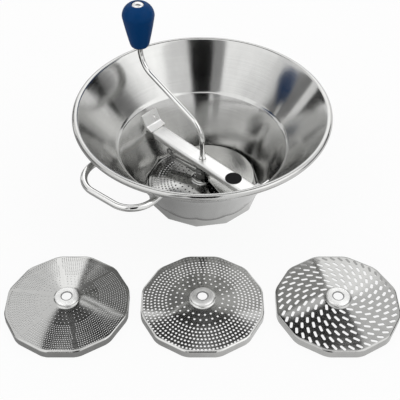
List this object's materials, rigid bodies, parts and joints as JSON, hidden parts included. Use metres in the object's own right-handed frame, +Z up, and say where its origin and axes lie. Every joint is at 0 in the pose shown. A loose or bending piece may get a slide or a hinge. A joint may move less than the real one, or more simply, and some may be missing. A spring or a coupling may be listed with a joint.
{
  "type": "food mill",
  "caption": "Hand-cranked steel food mill: flared bowl with loop handle, spring-loaded blade on a release bridge, and loose perforated discs.",
  "frame": {"origin": "on the crank's axis, in the plane that the base and the loose discs stand on", "axes": "+Z up along the crank's axis; -Y towards the row of loose discs; the loop handle points to -X, -Y"},
  "size_m": [0.4362, 0.4191, 0.2178],
  "materials": {
    "spun_steel": "spun satin",
    "polished_steel": "polished",
    "disc_steel": "bright sheet",
    "spring_steel": "dark drawn wire",
    "blue_plastic": "moulded satin gloss",
    "black_label": "printed vinyl"
  },
  "bodies": {
    "bowl": {"bowl": "spun_steel", "loop_handle": "polished_steel", "rear_lug": "polished_steel", "front_lug": "polished_steel", "installed_disc": "disc_steel"},
    "bridge": {"bridge_bar": "polished_steel", "bridge_bush": "polished_steel", "round_label": "black_label"},
    "spring_seat": {"upper_spring_washer": "spring_steel", "pressure_spring": "spring_steel"},
    "crank": {"lower_spring_washer": "spring_steel", "blade_hub": "spring_steel", "hub_pin": "polished_steel", "pressing_blade": "spun_steel", "clearing_wire": "polished_steel", "crank_rod": "polished_steel", "crank_collar": "polished_steel", "knob_stop_ring": "polished_steel", "knob_cap": "polished_steel"},
    "knob": {"knob": "blue_plastic"},
    "fine_disc": {"fine_disc": "disc_steel"},
    "medium_disc": {"medium_disc": "disc_steel"},
    "coarse_disc": {"coarse_disc": "disc_steel"}
  },
  "joints": [
    {"name": "bridge_turn", "type": "hinge", "parent": "bowl", "child": "bridge", "pos_m": [0, 0, 0.05], "axis": [0, 0, 1], "range_deg": [0, 35]},
    {"name": "crank_spin", "type": "hinge", "parent": "bridge", "child": "spring_seat", "pos_m": [0, 0, 0.046], "axis": [0, 0, 1], "continuous": true},
    {"name": "blade_lift", "type": "slide", "parent": "spring_seat", "child": "crank", "axis": [0, 0, 1], "range_m": [0, 0.004], "stiffness_N_per_m": 6000, "springref_m": -0.005, "deforming": ["pressure_spring"]},
    {"name": "knob_spin", "type": "hinge", "parent": "crank", "child": "knob", "pos_m": [-0.07842, 0.09346, 0.156], "axis": [0, 0, 1], "continuous": true},
    {"name": "fine_disc_lift", "type": "slide", "parent": "bowl", "child": "fine_disc", "axis": [0, -0.8, 0.6], "range_m": [0, 0.25]},
    {"name": "medium_disc_lift", "type": "slide", "parent": "bowl", "child": "medium_disc", "axis": [0, -0.8, 0.6], "range_m": [0, 0.25]},
    {"name": "coarse_disc_lift", "type": "slide", "parent": "bowl", "child": "coarse_disc", "axis": [0, -0.8, 0.6], "range_m": [0, 0.25]}
  ]
}
